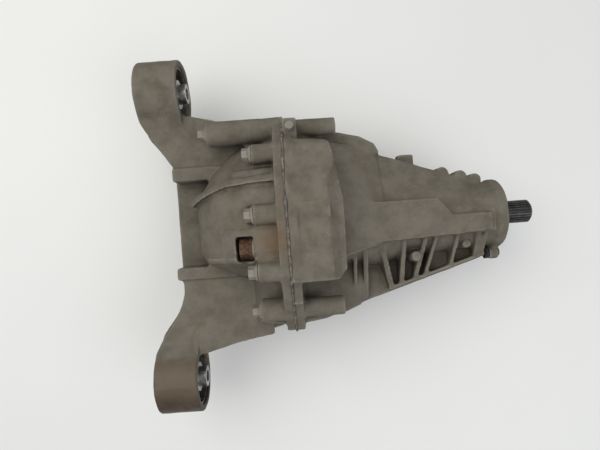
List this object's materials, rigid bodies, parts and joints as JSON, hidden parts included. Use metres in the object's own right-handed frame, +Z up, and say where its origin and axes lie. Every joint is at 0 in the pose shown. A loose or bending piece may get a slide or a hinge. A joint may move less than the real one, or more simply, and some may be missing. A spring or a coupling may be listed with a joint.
{
  "type": "differential gear assembly",
  "caption": "Rear axle differential: two-piece cast housing with domed cover, ribbed nose, splined pinion and two bushed mounting ears.",
  "frame": {"origin": "midway between the two ear bushes, on the pinion axis", "axes": "+X along the pinion axis towards the spline, +Y along the output axis towards the ring gear's back, +Z up"},
  "size_m": [0.487, 0.446, 0.2414],
  "materials": {
    "cast_aluminium": "dusty sand-cast skin",
    "sealant": "squeezed silicone bead, dusty",
    "black_rubber": "matt",
    "dusty_steel": "zinc plating under dust",
    "rusty_steel": "rusted",
    "black_steel": "oiled black",
    "cast_iron": "machined and oiled",
    "bush_steel": "bare, lightly worn",
    "gear_steel": "ground and oiled"
  },
  "bodies": {
    "housing": {"rear_casing": "cast_aluminium", "main_housing": "cast_aluminium", "joint_sealant": "sealant", "joint_dowels": "gear_steel", "filler_plug": "rusty_steel", "filler_plug_washer": "dusty_steel", "drain_plug": "rusty_steel", "breather": "dusty_steel", "front_rubber_plug": "black_rubber", "pinion_seal": "black_rubber", "short_joint_bolts": "dusty_steel", "long_joint_bolts": "dusty_steel", "pinion_head_bearing_outer_race": "gear_steel", "pinion_tail_bearing_outer_race": "gear_steel", "left_output_seal": "black_rubber", "left_bush_outer_sleeve": "bush_steel", "left_bush_rubber": "black_rubber", "left_bush_inner_sleeve": "bush_steel", "left_side_bearing_outer_race": "gear_steel", "right_output_seal": "black_rubber", "right_bush_outer_sleeve": "bush_steel", "right_bush_rubber": "black_rubber", "right_bush_inner_sleeve": "bush_steel", "right_side_bearing_outer_race": "gear_steel"},
    "carrier": {"ring_gear": "gear_steel", "ring_gear_bolts": "gear_steel", "differential_case": "cast_iron", "cross_pin": "gear_steel", "cross_pin_roll_pin": "gear_steel", "side_gear_washers": "gear_steel", "spider_gear_washers": "gear_steel", "left_side_bearing_inner_race": "gear_steel", "right_side_bearing_inner_race": "gear_steel"},
    "pinion": {"pinion_shaft": "black_steel", "pinion_nut": "gear_steel", "pinion_spacer": "gear_steel", "pinion_head_bearing_inner_race": "gear_steel", "pinion_tail_bearing_inner_race": "gear_steel"},
    "left_side_gear": {"left_side_gear": "gear_steel"},
    "right_side_gear": {"right_side_gear": "gear_steel"},
    "upper_spider_gear": {"upper_spider_gear": "gear_steel"},
    "lower_spider_gear": {"lower_spider_gear": "gear_steel"},
    "left_side_bearing_rollers": {"left_side_bearing_rollers": "gear_steel"},
    "right_side_bearing_rollers": {"right_side_bearing_rollers": "gear_steel"},
    "pinion_head_bearing_rollers": {"pinion_head_bearing_rollers": "gear_steel"},
    "pinion_tail_bearing_rollers": {"pinion_tail_bearing_rollers": "gear_steel"}
  },
  "joints": [
    {"name": "carrier_spin", "type": "hinge", "parent": "housing", "child": "carrier", "pos_m": [0.15, 0, 0], "axis": [0, 1, 0], "continuous": true},
    {"name": "pinion_spin", "type": "hinge", "parent": "housing", "child": "pinion", "pos_m": [0.25, 0, 0], "axis": [1, 0, 0], "continuous": true},
    {"name": "left_side_gear_spin", "type": "hinge", "parent": "carrier", "child": "left_side_gear", "pos_m": [0.15, 0.03, 0], "axis": [0, 1, 0], "continuous": true},
    {"name": "right_side_gear_spin", "type": "hinge", "parent": "carrier", "child": "right_side_gear", "pos_m": [0.15, -0.03, 0], "axis": [0, 1, 0], "continuous": true},
    {"name": "upper_spider_spin", "type": "hinge", "parent": "carrier", "child": "upper_spider_gear", "pos_m": [0.15, 0, 0.02], "axis": [0, 0, 1], "continuous": true},
    {"name": "lower_spider_spin", "type": "hinge", "parent": "carrier", "child": "lower_spider_gear", "pos_m": [0.15, 0, -0.02], "axis": [0, 0, 1], "continuous": true},
    {"name": "left_bearing_roller_spin", "type": "hinge", "parent": "housing", "child": "left_side_bearing_rollers", "pos_m": [0.15, 0.076, 0], "axis": [0, 1, 0], "continuous": true},
    {"name": "right_bearing_roller_spin", "type": "hinge", "parent": "housing", "child": "right_side_bearing_rollers", "pos_m": [0.15, -0.076, 0], "axis": [0, 1, 0], "continuous": true},
    {"name": "pinion_head_roller_spin", "type": "hinge", "parent": "housing", "child": "pinion_head_bearing_rollers", "pos_m": [0.255, 0, 0], "axis": [1, 0, 0], "continuous": true},
    {"name": "pinion_tail_roller_spin", "type": "hinge", "parent": "housing", "child": "pinion_tail_bearing_rollers", "pos_m": [0.358, 0, 0], "axis": [1, 0, 0], "continuous": true}
  ],
  "couplings": [
    {"joint": "pinion_spin", "follows": "carrier_spin", "ratio": -3.3636},
    {"joint": "left_bearing_roller_spin", "follows": "carrier_spin", "ratio": 0.43067},
    {"joint": "right_bearing_roller_spin", "follows": "carrier_spin", "ratio": 0.43067},
    {"joint": "pinion_head_roller_spin", "follows": "carrier_spin", "ratio": -1.4279},
    {"joint": "pinion_tail_roller_spin", "follows": "carrier_spin", "ratio": -1.4236},
    {"joint": "right_side_gear_spin", "follows": "left_side_gear_spin", "ratio": -1},
    {"joint": "upper_spider_spin", "follows": "left_side_gear_spin", "ratio": -1.4},
    {"joint": "lower_spider_spin", "follows": "left_side_gear_spin", "ratio": 1.4}
  ]
}
